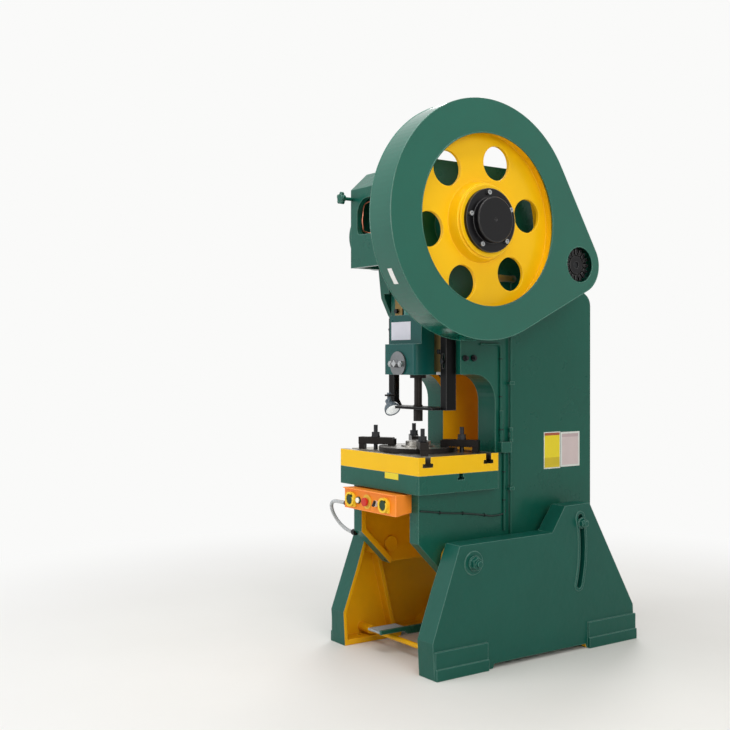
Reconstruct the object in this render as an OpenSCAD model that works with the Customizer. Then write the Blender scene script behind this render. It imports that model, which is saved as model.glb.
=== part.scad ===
// Mechanical stamping press, open-back inclinable, single crank.
// X runs to the operator's right, Y to the back, Z up; the origin is on the
// floor at the centre of the four anchor holes.

/* [Tilting frame] */
// Half of the width over the two side plates
frame_hw = 230; // [224:1:232]
// Thickness of a side plate
plate_t = 25; // [18:1:28]
// Underside of the frame above the floor
frame_z0 = 360; // [345:1:372]
// Top of the head above the floor
head_z = 2072; // [2060:1:2100]
// Front face of the head
head_y = -568.5; // [-580:0.5:-560]
// Half width of the passage through the throat
pass_x = 120; // [100:1:130]
// Radius at the top of the throat
throat_r = 115; // [100:1:118]

/* [Table] */
// Half width of the table
table_hw = 280; // [260:1:300]
// Table thickness
table_t = 76; // [64:1:80]
// Table depth, front to back
table_d = 420; // [400:1:424]
// Bolster thickness
bolster_t = 74; // [66:1:74]
// Width of a T-slot neck
slot_w = 28; // [22:1:32]

/* [Legs] */
// Half of the width over the two legs
leg_hw = 363; // [361:1:370]
// Thickness of a leg web
leg_web = 18; // [14:1:20]
// Thickness of the rim around a leg
leg_rim = 16; // [12:1:18]
// Half spacing of the anchor holes across the press
anchor_x = 314; // [308:1:320]
// Half spacing of the anchor holes, front to back
anchor_y = 465; // [440:1:480]
// Radius of an anchor hole
anchor_r = 11; // [9:0.5:12]

/* [Drive] */
// Crank axis, Y
crank_y = -376; // [-380:1:-372]
// Crank axis, Z
crank_z = 1803; // [1800:1:1808]
// Crank throw, half of the stroke
throw = 40; // [30:1:40]
// Radius of the crank journals
journal_r = 45; // [40:1:48]
// Radius of the crankpin
pin_r = 52; // [48:1:56]
// Outside radius of the flywheel
wheel_r = 440; // [430:1:442]
// Number of lightening holes in the flywheel web
wheel_holes = 6; // [3:1:6]
// Radius of a lightening hole
hole_r = 69; // [50:1:72]
// Motor axis, Y
motor_y = 136.5; // [130:0.5:140]
// Motor axis, Z
motor_z = 1657; // [1657:1:1659]
// Pitch radius of the motor pulley
pulley_r = 62; // [56:1:66]
// Number of lugs on the pulley face
pulley_lugs = 16; // [10:1:18]

/* [Belt guard] */
// Outside radius of the guard over the flywheel
guard_r = 475; // [470:1:480]
// Radius of the front opening
guard_open_r = 343; // [330:1:350]
// Outer face of the guard
guard_x = 450; // [446:1:454]
// Sheet thickness of the guard
guard_t = 3; // [2:0.5:4]

/* [Slide and tooling] */
// Half width of the slide
slide_hw = 112; // [108:1:112]
// Underside of the slide at the top of the stroke
slide_z = 1193; // [1188:1:1200]
// Radius of the die plate
die_r = 168; // [150:1:170]
// Radius of the punch
punch_r = 20; // [14:1:22]
// Hole through the ring die
die_hole_r = 15; // [12:0.5:18]

/* [Hidden] */
fn_big = 120;
fn_mid = 64;
fn_small = 40;
pivot_y = -376;
pivot_z = 441;
pivot_r = 20;
slot_r = 620;
side_x0 = frame_hw - plate_t;
table_y0 = -588.5;
table_y1 = table_y0 + table_d;
table_z1 = 793;
table_z0 = table_z1 - table_t;
bol_z1 = table_z1 + bolster_t;
die_z1 = bol_z1 + 20;
rear_y = 434.5;
guard_y = -377;
guard_z = 1808;
lobe_y = 132.5;
lobe_z = 1656;
lobe_r = 119;
fit = 0.05;
gap = 0.3;
way_y = -338;
slide_y0 = -479.5;
slide_y1 = -290;
seat_z = 1447;
rod_y = -63.5;
tie_pts = [[0, 130], [190, 45]];
pedal_y = 136.5;
pedal_z = 75;
front_y = -433.5;
front_z = 52;

// cylinder along X
module xc(x0, x1, r, y = 0, z = 0, fn = 64)
    translate([x0, y, z]) rotate([0, 90, 0])
    cylinder(h = x1 - x0, r = r, $fn = fn);

// cylinder along Y
module yc(y0, y1, r, x = 0, z = 0, fn = 48)
    translate([x, y0, z]) rotate([-90, 0, 0])
    cylinder(h = y1 - y0, r = r, $fn = fn);

// cylinder along Z
module zc(z0, z1, r, x = 0, y = 0, fn = 48)
    translate([x, y, z0]) cylinder(h = z1 - z0, r = r, $fn = fn);

// box between limits
module bx(x0, x1, y0, y1, z0, z1)
    translate([x0, y0, z0]) cube([x1 - x0, y1 - y0, z1 - z0]);

// outline in the Y-Z plane carried along X
module xp(x0, x1, pts)
    translate([x0, 0, 0]) rotate([90, 0, 90])
    linear_extrude(height = x1 - x0) polygon(pts);

// outline in the X-Y plane carried along Z
module zp(z0, z1, pts)
    translate([0, 0, z0])
    linear_extrude(height = z1 - z0) polygon(pts);

// outline in the X-Z plane carried along Y
module yp(y0, y1, pts)
    translate([0, y1, 0]) rotate([90, 0, 0])
    linear_extrude(height = y1 - y0) polygon(pts);

// hexagon head along X
module xhex(x0, x1, af, y, z)
    translate([x0, y, z]) rotate([0, 90, 0])
    cylinder(h = x1 - x0, r = af / sqrt(3), $fn = 6);

// hexagon head along Y
module yhex(y0, y1, af, x, z)
    translate([x, y0, z]) rotate([-90, 0, 0])
    cylinder(h = y1 - y0, r = af / sqrt(3), $fn = 6);

// hexagon head along Z
module zhex(z0, z1, af, x, y)
    translate([x, y, z0])
    cylinder(h = z1 - z0, r = af / sqrt(3), $fn = 6);

// both sides of the press
module both() {
    children();
    mirror([1, 0, 0]) children();
}

// outline moved inward by t, corner by corner (clockwise outlines)
function unit(v) = v / norm(v);
function edge_n(a, b) = let (d = unit(b - a)) [d[1], -d[0]];
function corner_in(p, q, r, t) =
    let (m = edge_n(p, q), n = edge_n(q, r))
    q + t * (m + n) / (1 + m[0] * n[0] + m[1] * n[1]);
function inset(pts, t) = [
    for (i = [0 : len(pts) - 1])
    corner_in(pts[(i + len(pts) - 1) % len(pts)], pts[i],
              pts[(i + 1) % len(pts)], t)
];

// points along an arc
function arc_pts(cy, cz, r, a0, a1, n) = [
    for (i = [0 : n])
    let (a = a0 + (a1 - a0) * i / n)
    [cy + r * cos(a), cz + r * sin(a)]
];

// ---- legs ----

leg_pts = [
    [-576, 0], [-584, 146], [-446, 516], [64, 521], [140, 629],
    [288, 632], [569, 153], [578, 0], [272, 0], [264, 19],
    [-264, 19], [-272, 0]
];

// band along the slot radius about the pivot, with round ends
function band_pts(a0, a1, w) = concat(
    arc_pts(pivot_y, pivot_z, slot_r + w, a0, a1, 20),
    arc_pts(pivot_y + slot_r * cos(a1), pivot_z + slot_r * sin(a1),
            w, a1 + 15, a1 + 165, 10),
    arc_pts(pivot_y, pivot_z, slot_r - w, a1, a0, 20),
    arc_pts(pivot_y + slot_r * cos(a0), pivot_z + slot_r * sin(a0),
            w, a0 + 195, a0 + 345, 10));

module arc_band(x0, x1, a0, a1, w)
    xp(x0, x1, band_pts(a0, a1, w));

module leg() {
    difference() {
        union() {
            // outer web
            xp(leg_hw - leg_web, leg_hw, leg_pts);
            // rim flange
            difference() {
                xp(265, leg_hw - leg_web, leg_pts);
                xp(264, leg_hw - leg_web + 1, inset(leg_pts, leg_rim));
                // the rim narrows towards the top
                translate([265, 0, 330]) rotate([0, 3, 0])
                    bx(-40, 0, -700, 700, 0, 400);
            }
            // foot pads standing out of the web
            bx(leg_hw, leg_hw + 9, -576, -305, 0, 112);
            bx(leg_hw, leg_hw + 9, 276, 577, 0, 112);
            bx(leg_hw + 9, leg_hw + 16, -576, -305, 0, 45);
            bx(leg_hw + 9, leg_hw + 16, 276, 577, 0, 45);
            // inner foot flanges
            bx(265, leg_hw - leg_web, -572, -290, 0, 24);
            bx(265, leg_hw - leg_web, 290, 572, 0, 24);
            // bosses for tie bars, pedal shaft and front shaft
            for (p = tie_pts)
                xc(290, leg_hw - leg_web, 32, p[0], p[1], 48);
            xc(285, leg_hw - leg_web, 28, pedal_y, pedal_z, 48);
            xc(265, leg_hw - leg_web, 20, front_y, front_z, 48);
            // pivot boss and slot boss
            xc(frame_hw + gap, leg_hw - leg_web, 62, pivot_y, pivot_z);
            xc(leg_hw, leg_hw + 4, 47.5, pivot_y, pivot_z);
            arc_band(frame_hw + gap, leg_hw - leg_web, -15, 12.4, 40);
            arc_band(leg_hw, leg_hw + 4, -15, 12.4, 26);
            // ribs between the bosses and the rim
            xp(300, leg_hw - leg_web, [[-324, 434], [206, 434],
               [206, 450], [-324, 450]]);
            xp(300, leg_hw - leg_web, [[-290, 19], [-270, 19],
               [-362, 390], [-382, 390]]);
            xp(300, leg_hw - leg_web, [[-126, 19], [-150, 19],
               [216, 312], [232, 300]]);
            xp(300, leg_hw - leg_web, [[274, 600], [258, 600],
               [258, 618], [274, 618]]);
        }
        // pivot and slot
        xc(frame_hw - 1, leg_hw + 20, pivot_r + fit, pivot_y, pivot_z);
        arc_band(frame_hw - 1, leg_hw + 20, -15, 12.4, 14);
        // anchor holes
        for (s = [-1, 1])
            zc(-1, 60, anchor_r, anchor_x, s * anchor_y, 48);
        // tie bar seats
        for (p = tie_pts)
            xc(264, leg_hw - leg_web + 6, 17 + fit, p[0], p[1], 48);
        // bores for the pedal shaft and the front shaft
        xc(260, leg_hw - 8, 15 + fit, pedal_y, pedal_z, 48);
        xc(260, leg_hw - 8, 11 + fit, front_y, front_z, 48);
    }
}

module leg_right()
    color("#28584A") leg();

module leg_left()
    color("#28584A") mirror([1, 0, 0]) leg();

module tie_bars()
    color("#F5B81C")
    for (p = tie_pts)
        xc(-leg_hw + leg_web - 5, leg_hw - leg_web + 5, 17,
           p[0], p[1], 48);

module pivot_bolt() {
    xc(side_x0 - 12, leg_hw + 4, pivot_r, pivot_y, pivot_z, 48);
    xc(side_x0 - 12, side_x0 - gap, 34, pivot_y, pivot_z, 48);
    xc(leg_hw + 4, leg_hw + 10, 31, pivot_y, pivot_z, 48);
    xhex(leg_hw + 10, leg_hw + 30, 46, pivot_y, pivot_z);
    xc(leg_hw + 30, leg_hw + 44, 13, pivot_y, pivot_z, 48);
}

module pivot_bolts()
    color("#3A3D40") both() pivot_bolt();

// slot bolts, carried by the frame
module slot_bolt() {
    y = pivot_y + slot_r * cos(10);
    z = pivot_z + slot_r * sin(10);
    xc(side_x0 - 14, leg_hw + 36, 12, y, z, 48);
    xhex(side_x0 - 14, side_x0, 36, y, z);
    difference() {
        xc(leg_hw + 4 + gap, leg_hw + 9, 24, y, z, 48);
        xc(leg_hw + 3, leg_hw + 10, 12, y, z, 48);
    }
    difference() {
        xhex(leg_hw + 9, leg_hw + 28, 36, y, z);
        xc(leg_hw + 8, leg_hw + 29, 12, y, z, 48);
    }
}

module slot_bolts()
    color("#3A3D40") both() slot_bolt();

// ---- frame ----

side_pts = concat(
    [[-551.5, 512], [-551.5, 793], [-141.5, 793]],
    arc_pts(-141.5 - throat_r, 1195 - throat_r, throat_r, 0, 90, 10),
    [[-331.5, 1195], [-331.5, 1400], [-368.5, 1455],
     [-405.5, 1528], [-408.5, 1548], [-420.5, 1655],
     [head_y, 1655], [head_y, 1995],
     [head_y + head_z - 1988, head_z], [26.5, head_z]],
    [[381.5 - 12, 1572]],
    arc_pts(rear_y - 60, 1500, 60, 62, 0, 4),
    [[rear_y, frame_z0], [-399.5, frame_z0]]
);

module side_plate() {
    difference() {
        xp(side_x0, frame_hw, side_pts);
        // pivot and slot bolt holes
        xc(side_x0 - 1, frame_hw + 1, pivot_r + fit, pivot_y, pivot_z);
        xc(side_x0 - 1, frame_hw + 1, 12, pivot_y + slot_r * cos(10),
           pivot_z + slot_r * sin(10), 48);
        // crank bearing seat
        xc(side_x0 - 1, frame_hw + 1, journal_r + 15, crank_y, crank_z);
    }
}

module throat_skin(x0, x1, t) {
    difference() {
        xp(x0, x1, side_pts);
        xp(x0 - 1, x1 + 1, inset(side_pts, t));
    }
}

module bearing_boss() {
    difference() {
        union() {
            xc(150, side_x0, 92, crank_y, crank_z);
            xc(frame_hw, 262, 92, crank_y, crank_z);
            xp(150, side_x0, [[crank_y - 8, crank_z - 90],
               [crank_y + 8, crank_z - 90], [crank_y + 8, 1655],
               [crank_y - 8, 1655]]);
        }
        xc(149, 263, journal_r + 15, crank_y, crank_z);
    }
}

module frame()
    color("#2A5C4D")
    difference() {
        union() {
            both() {
                side_plate();
                bearing_boss();
                // front flanges below the table
                xp(172, side_x0, [[-551.5, 512], [-551.5, table_z0],
                   [-527.5, table_z0], [-527.5, 522],
                   [-391.5, 386], [-391.5, 360], [-399.5, 360]]);
                // cheek under the head, split above the wedge
                xp(165, side_x0, [[-408.5, 1548], [-420.5, 1655],
                   [-360, 1655], [-360, 1548]]);
                xp(135, side_x0, [[-368.5, 1455], [-405.5, 1528],
                   [-405.5, 1540], [-377, 1540], [-377, 1455]]);
                // guide housing beside the slide
                difference() {
                    union() {
                        bx(165, 193, -376.5, slide_y1, 1205, 1560);
                        bx(slide_hw + gap, side_x0, -331.5, slide_y1,
                           1205, 1600);
                        bx(slide_hw + gap, 165, way_y, -331,
                           1205, 1560);
                    }
                    way_groove();
                }
                // passage walls
                bx(pass_x, pass_x + 12, -141.5, rear_y - 24,
                   bol_z1 - 30, 1207);
            }
            // throat front, lower head and head front
            difference() {
                throat_skin(-side_x0, side_x0, 24);
                bx(-300, 300, -700, -145, 300, table_z1 + 0.5);
                bx(-300, 300, -700, -286, 1219, 1690);
                bx(-140, 140, -345, -286, 1190, 1232);
                bx(-300, 300, -560, 500, 1500, 1990);
                bx(-300, 300, 20, 500, 1560, 2100);
            }
            bx(-side_x0, side_x0, head_y, head_y + 24, 1655, 1990);
            // bottom plate and cross wall
            bx(-side_x0, side_x0, -100, -76, frame_z0 + 24, 900);
            // passage floor and ceiling
            bx(-side_x0, side_x0, -141.5, rear_y - 24,
               bol_z1 - 42, bol_z1 - 30);
            bx(-side_x0, side_x0, -256, rear_y - 24, 1195, 1207);
            // wall behind the crank
            bx(-side_x0, side_x0, -200, -180, 1207, 2048);
            // motor deck
            bx(-side_x0, side_x0, -180, 400, 1533, 1557);
            // sloping rear plate
            xp(-side_x0, side_x0, [[26.5, head_z], [26.5, 2048],
               [186, 1813], [204, 1813]]);
            // head top
            bx(-side_x0, side_x0, -480, 27, 2048, head_z);
            // table
            table_blank();
            // beams that carry the table
            bx(-side_x0, side_x0, -520, -496, table_z0 - 60, table_z0);
        }
        // passage through the throat
        bx(-pass_x, pass_x, -250, rear_y + 1, bol_z1, 1195);
        // front window of the head
        head_window();
        // crank case inspection opening in the rear wall
        bx(-90, 90, -201, -179, 1640, 1900);
        // rear window
        rear_window();
        // motor shaft opening, slotted for belt tension
        xc(side_x0 - 1, frame_hw + 1, 42, motor_y, motor_z);
        // rear opening of the lower box
        bx(-140, 140, rear_y - 30, rear_y + 1, 430, 820);
        // table slots and the drop hole
        table_cuts();
        // motor bolts and knob stem
        for (x = [18, 122], s = [-1, 1])
            zc(1530, 1560, 6, x, motor_y + s * 80, 32);
        yc(head_y - 1, head_y + 14, 5 + fit, -217, 1954, 32);
    }

// vee groove that guides the slide, both halves
module way_groove()
    zp(1190, 1610, [[slide_hw - 2, way_y - 30.5],
       [slide_hw - 2, way_y + 30.5], [slide_hw + gap, way_y + 28.3],
       [136.4, way_y + 4.2], [136.4, way_y - 4.2],
       [slide_hw + gap, way_y - 28.3]]);

module table_blank()
    bx(-table_hw, table_hw, table_y0, table_y1, table_z0, table_z1);

module t_slot(x0, x1, yc0, ztop, w, head_w, head_h, depth) {
    bx(x0, x1, yc0 - w / 2, yc0 + w / 2, ztop - depth, ztop + 1);
    bx(x0, x1, yc0 - head_w / 2, yc0 + head_w / 2,
       ztop - depth, ztop - depth + head_h);
}

module table_cuts() {
    // T-slot in the middle of each table side
    for (s = [-1, 1])
        for (w = [[-389, -352, 777], [-381.5, -359.5, table_z1 + 1]])
            bx(min(s * 200, s * (table_hw + 1)),
               max(s * 200, s * (table_hw + 1)),
               w[0], w[1], 767, w[2]);
    zc(table_z0 - 1, table_z1 + 1, 90, 0, crank_y, fn_mid);
}

module head_window()
    yp(head_y - 1, head_y + 25, concat(
        arc_pts(112, 1880, 70, 0, 90, 8),
        arc_pts(-112, 1880, 70, 90, 180, 8),
        arc_pts(-157, 1820, 25, 180, 270, 4),
        arc_pts(157, 1820, 25, 270, 360, 4)));

module rear_window()
    translate([0, 26.5, head_z])
    rotate([-55.5, 0, 0])
    translate([0, 0, -45])
    linear_extrude(height = 60) polygon(concat(
        arc_pts(80, 110, 35, 270, 360, 6),
        arc_pts(80, 205, 35, 0, 90, 6),
        arc_pts(-80, 205, 35, 90, 180, 6),
        arc_pts(-80, 110, 35, 180, 270, 6)));

// ---- table and tooling ----

module bolster()
    color("#F5B81C")
    difference() {
        bx(-table_hw, table_hw, table_y0, table_y1, table_z1, bol_z1);
        t_slot(-table_hw - 1, table_hw + 1, -542.5, bol_z1,
               slot_w, 52, 16, 42);
        t_slot(-table_hw - 1, table_hw + 1, -222.5, bol_z1,
               slot_w, 52, 16, 42);
        zc(table_z1 - 1, bol_z1 + 1, 50, 0, crank_y, fn_mid);
        for (sx = [-1, 1], sy = [-1, 1])
            zc(bol_z1 - 40, bol_z1 + 1, 9, sx * 166,
               crank_y + sy * 105, 32);
    }

module die_plate()
    color("#55504A")
    difference() {
        zc(bol_z1, die_z1, die_r, 0, crank_y, fn_big);
        zc(bol_z1 - 1, die_z1 + 1, 40, 0, crank_y, fn_mid);
    }

module ring_die()
    color("#4A4643")
    difference() {
        union() {
            zc(die_z1, die_z1 + 22, 54, 0, crank_y, fn_mid);
            zc(die_z1, die_z1 + 5, 72, 0, crank_y, fn_mid);
        }
        zc(die_z1 - 1, die_z1 + 23, die_hole_r, 0, crank_y, fn_mid);
        bx(-55, 55, crank_y - 4, crank_y + 4, die_z1 + 14, die_z1 + 23);
        bx(-4, 4, crank_y - 55, crank_y + 55, die_z1 + 14, die_z1 + 23);
    }

// strap clamp, drawn along its own length from the nose
module strap() {
    difference() {
        union() {
            bx(106, 271, -17.5, 17.5, bol_z1 + 23, bol_z1 + 53);
            bx(108, 134, -15, 15, die_z1, bol_z1 + 23);
            bx(246, 270, -16, 16, bol_z1, bol_z1 + 23);
        }
        bx(186, 230, -9.5, 9.5, bol_z1 + 22, bol_z1 + 54);
        translate([106, 0, bol_z1 + 53]) rotate([0, 35, 0])
            bx(-40, 8, -20, 20, -4, 40);
    }
}

module clamps()
    color("#35322F")
    translate([0, crank_y, 0])
    for (a = [32.3, 147.7, 212.3, 327.7])
        rotate([0, 0, a]) strap();

module stud_set() {
    zc(bol_z1 - 38, bol_z1 + 106, 9, 0, 0, 32);
    difference() {
        zc(bol_z1 + 53, bol_z1 + 58, 19, 0, 0, 32);
        zc(bol_z1 + 52, bol_z1 + 59, 9, 0, 0, 32);
    }
    difference() {
        zhex(bol_z1 + 58, bol_z1 + 75, 30, 0, 0);
        zc(bol_z1 + 57, bol_z1 + 76, 9, 0, 0, 32);
    }
}

module clamp_studs()
    color("#6A6763")
    for (sx = [-1, 1], sy = [-1, 1])
        translate([sx * 166, crank_y + sy * 105, 0]) stud_set();

// ---- crank train ----

module crank_bushes()
    color("#B5813A")
    both() difference() {
        xc(148, 264, journal_r + 15, crank_y, crank_z);
        xc(147, 265, journal_r + fit, crank_y, crank_z);
    }

module crankshaft()
    color("#7C7F82") {
        xc(-329, -112, journal_r, crank_y, crank_z, fn_big);
        xc(112, 451, journal_r, crank_y, crank_z, fn_big);
        both() xc(56, 112, 93, crank_y, crank_z, fn_big);
        xc(-56, 56, pin_r, crank_y, crank_z + throw, fn_big);
    }

module clutch_collar()
    color("#55585A")
    difference() {
        xc(266, 298, 78, crank_y, crank_z);
        xc(265, 299, journal_r, crank_y, crank_z);
        for (a = [0 : 90 : 270])
            translate([0, crank_y, crank_z]) rotate([a, 0, 0])
            bx(280, 299, -10, 10, 62, 80);
    }

// brake drum on the left end of the crankshaft
drum_r = 134;

module brake_drum()
    color("#4A4D50")
    difference() {
        xc(-325, -268, drum_r, crank_y, crank_z, fn_big);
        xc(-326, -267, journal_r, crank_y, crank_z);
        xc(-326, -316, drum_r - 20, crank_y, crank_z, fn_big);
    }

module brake_band()
    color("#2A5C4D")
    difference() {
        union() {
            xc(-318, -277, drum_r + 8, crank_y, crank_z, fn_big);
            bx(-312, -283, crank_y + 60, crank_y + 84,
               crank_z - 176, crank_z - 110);
            xc(-283, -frame_hw, 12, crank_y + 72, crank_z - 164, 32);
            xc(-283, -frame_hw, 12, crank_y + 72, crank_z + 152, 32);
            bx(-312, -283, crank_y + 60, crank_y + 84,
               crank_z + 110, crank_z + 168);
        }
        xc(-319, -276, drum_r + gap, crank_y, crank_z, fn_big);
    }

module flywheel()
    color("#F5B81C")
    difference() {
        union() {
            difference() {
                xc(325, 430, wheel_r, crank_y, crank_z, fn_big);
                xc(324, 384, wheel_r - 75, crank_y, crank_z, fn_big);
                xc(399, 431, wheel_r - 75, crank_y, crank_z, fn_big);
            }
            xc(302, 399, 110, crank_y, crank_z);
            translate([399, crank_y, crank_z]) rotate([0, 90, 0])
                cylinder(h = 41, r1 = 162, r2 = 149, $fn = 96);
            xc(440, 452, 143, crank_y, crank_z, fn_big);
        }
        xc(300, 453, journal_r + fit, crank_y, crank_z, fn_big);
        for (k = [0 : wheel_holes - 1])
            xc(380, 402, hole_r,
               crank_y + 258.5 * cos(9.8 + k * 360 / wheel_holes),
               crank_z + 258.5 * sin(9.8 + k * 360 / wheel_holes));
        // belt grooves
        for (x = belt_xs)
            difference() {
                xc(x - 7, x + 7, wheel_r + 1, crank_y, crank_z, fn_big);
                xc(x - 8, x + 8, wheel_r - 10, crank_y, crank_z, fn_big);
            }
    }

belt_xs = [346, 365, 384, 403];

module hub_cover()
    color("#19161A")
    difference() {
        union() {
            xc(452, 468, 126, crank_y, crank_z, fn_big);
            xc(468, 494, 90, crank_y, crank_z, fn_big);
            translate([494, crank_y, crank_z]) rotate([0, 90, 0])
                cylinder(h = 3, r1 = 90, r2 = 87, $fn = 96);
        }
        for (k = [0 : 4])
            xc(451, 469, 6, crank_y + 109 * cos(98 + k * 72),
               crank_z + 109 * sin(98 + k * 72), 32);
        translate([491, crank_y, crank_z]) rotate([0, 90, 0])
            cylinder(h = 7, r1 = 1, r2 = 7, $fn = 32);
    }

module hub_bolts()
    color("#A9ABAD")
    for (k = [0 : 4]) {
        y = crank_y + 109 * cos(98 + k * 72);
        z = crank_z + 109 * sin(98 + k * 72);
        difference() {
            union() {
                xc(452, 468, 6, y, z, 32);
                xc(468, 479, 9.5, y, z, 32);
            }
            xhex(473, 480, 9, y, z);
        }
    }

// ---- belt drive ----

// outline of a loop around two circles
function loop_pts(c1, r1, c2, r2) =
    let (v = c2 - c1, p = atan2(v[1], v[0]),
         a = acos((r1 - r2) / norm(v)))
    concat(arc_pts(c1[0], c1[1], r1, p + a, p - a + 360, 90),
           arc_pts(c2[0], c2[1], r2, p - a, p + a, 20));

module two_rounds(x0, x1, c1, r1, c2, r2)
    xp(x0, x1, loop_pts(c1, r1, c2, r2));

module belt(x) {
    wc = [crank_y, crank_z];
    mc = [motor_y, motor_z];
    difference() {
        two_rounds(x - 6.5, x + 6.5, wc, wheel_r + 1.3, mc, pulley_r + 7);
        two_rounds(x - 7.5, x + 7.5, wc, wheel_r - 9.7, mc, pulley_r - 4);
    }
}

module belts()
    color("#1B1B1C")
    for (x = belt_xs)
        belt(x);

module motor_pulley()
    color("#1E1C20")
    difference() {
        union() {
            xc(330, 420, pulley_r + 8, motor_y, motor_z, 96);
            xc(280, 330, 34, motor_y, motor_z);
            xc(420, 430, pulley_r - 24, motor_y, motor_z);
            // lugs on the face
            for (k = [0 : pulley_lugs - 1])
                translate([0, motor_y, motor_z])
                rotate([k * 360 / pulley_lugs, 0, 0])
                bx(420, 430, -5.5, 5.5, pulley_r - 18, pulley_r + 8);
        }
        xc(279, 431, 14, motor_y, motor_z, 48);
        for (x = belt_xs)
            difference() {
                xc(x - 7, x + 7, pulley_r + 9, motor_y, motor_z, 96);
                xc(x - 8, x + 8, pulley_r - 4.3, motor_y, motor_z, 96);
            }
    }

module motor_rotor()
    color("#8A8D90") {
        xc(-150, 426, 14, motor_y, motor_z, 48);
        xc(-145, -112, 24, motor_y, motor_z, 48);
        xc(-118, -114, 82, motor_y, motor_z);
        for (k = [0 : 8])
            translate([0, motor_y, motor_z]) rotate([k * 40, 0, 0])
            bx(-142, -114, -1.5, 1.5, 20, 80);
    }

module motor_body()
    color("#8F979B")
    difference() {
        union() {
            xc(-98, 190, 86, motor_y, motor_z, fn_big);
            xc(172, 200, 95, motor_y, motor_z, fn_big);
            xc(-104, -90, 95, motor_y, motor_z, fn_big);
            for (k = [0 : 31])
                translate([0, motor_y, motor_z])
                rotate([k * 11.25 + 5.6, 0, 0])
                bx(-93, 175, -1.6, 1.6, 80, 99);
            // feet
            for (s = [-1, 1])
                bx(0, 140, motor_y + min(s * 50, s * 92),
                   motor_y + max(s * 50, s * 92),
                   motor_z - 100, motor_z - 84);
            for (s = [-1, 1])
                bx(3, 137, motor_y + s * 62 - 8, motor_y + s * 62 + 8,
                   motor_z - 92, motor_z - 50);
            // seat for the terminal box
            bx(-10, 90, motor_y - 34, motor_y + 34,
               motor_z + 60, motor_z + 104);
        }
        xc(-105, 201, 14 + fit, motor_y, motor_z, 48);
        for (x = [18, 122], s = [-1, 1])
            zc(motor_z - 101, motor_z - 83, 6, x, motor_y + s * 80, 32);
    }

module motor_bolt_set()
    for (x = [18, 122], s = [-1, 1]) {
        zc(1533, motor_z - 72, 6, x, motor_y + s * 80, 32);
        difference() {
            zhex(motor_z - 84, motor_z - 75, 19, x, motor_y + s * 80);
            zc(motor_z - 85, motor_z - 74, 6, x, motor_y + s * 80, 32);
        }
    }

module fan_cowl()
    color("#7D8589")
    difference() {
        union() {
            difference() {
                xc(-168, -104, 99, motor_y, motor_z, fn_big);
                xc(-165, -103, 96, motor_y, motor_z, fn_big);
                xc(-169, -164, 84, motor_y, motor_z, fn_big);
            }
            for (r = [20, 36, 52, 68])
                difference() {
                    xc(-168, -165, r + 3, motor_y, motor_z);
                    xc(-169, -164, r, motor_y, motor_z);
                }
            xc(-168, -165, 10, motor_y, motor_z);
            for (k = [0 : 5])
                translate([0, motor_y, motor_z]) rotate([k * 60, 0, 0])
                bx(-168, -165, -2, 2, 8, 86);
        }
        xc(-170, -160, 3, motor_y, motor_z, 32);
    }

module terminal_box()
    color("#8F979B") {
        bx(-14, 94, motor_y - 46, motor_y + 46,
           motor_z + 104, motor_z + 144);
        bx(-18, 98, motor_y - 50, motor_y + 50,
           motor_z + 144, motor_z + 149);
        yc(motor_y - 62, motor_y - 46, 14, 40, motor_z + 124, 32);
    }

module belt_guard()
    color("#337864") {
        gc = [guard_y, guard_z];
        lc = [lobe_y, lobe_z];
        difference() {
            two_rounds(316, guard_x, gc, guard_r, lc, lobe_r);
            two_rounds(315, guard_x - guard_t, gc, guard_r - guard_t,
                       lc, lobe_r - guard_t);
            xc(guard_x - 10, guard_x + 1, guard_open_r,
               guard_y + 13.5, guard_z, 144);
            xc(guard_x - 10, guard_x + 1, 75, motor_y, motor_z, 72);
        }
        // brackets to the side plate
        for (a = [20, -30, -76])
            xc(frame_hw, 336, 11, guard_y + (guard_r - 11) * cos(a),
               guard_z + (guard_r - 11) * sin(a), 32);
        xc(frame_hw, 336, 11, lobe_y, lobe_z - lobe_r + 11, 32);
    }

// ---- connecting rod ----

pin_z = crank_z + throw;

module connecting_rod()
    color("#B9974E")
    difference() {
        union() {
            difference() {
                xc(-54, 54, 92, crank_y, pin_z, fn_big);
                bx(-60, 60, crank_y - 130, crank_y + 130,
                   pin_z, pin_z + 130);
            }
            bx(-40, 40, crank_y - 114, crank_y + 114,
               pin_z - 24, pin_z);
            bx(-47.5, 47.5, crank_y - 36, crank_y + 36, 1640, 1790);
            yp(crank_y - 49, crank_y + 42, [[-47.5, 1650], [47.5, 1650],
               [63, 1602], [63, 1535], [-63, 1535], [-63, 1602]]);
        }
        xc(-55, 55, pin_r + fit, crank_y, pin_z, fn_big);
        zc(1530, 1660, 28, 0, crank_y);
        // clamp split
        bx(-1.5, 1.5, crank_y - 50, crank_y, 1534, 1625);
        for (z = [1552, 1585])
            xc(-64, 64, 7, crank_y - 37, z, 32);
        for (s = [-1, 1])
            zc(pin_z - 25, pin_z + 1, 8, 0, crank_y + s * 103, 32);
    }

module rod_cap()
    color("#B9974E")
    difference() {
        union() {
            difference() {
                xc(-54, 54, 92, crank_y, pin_z, fn_big);
                bx(-60, 60, crank_y - 130, crank_y + 130,
                   pin_z - 130, pin_z);
            }
            bx(-40, 40, crank_y - 114, crank_y + 114,
               pin_z, pin_z + 24);
        }
        xc(-55, 55, pin_r + fit, crank_y, pin_z, fn_big);
        for (s = [-1, 1])
            zc(pin_z - 1, pin_z + 25, 8, 0, crank_y + s * 103, 32);
    }

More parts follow.
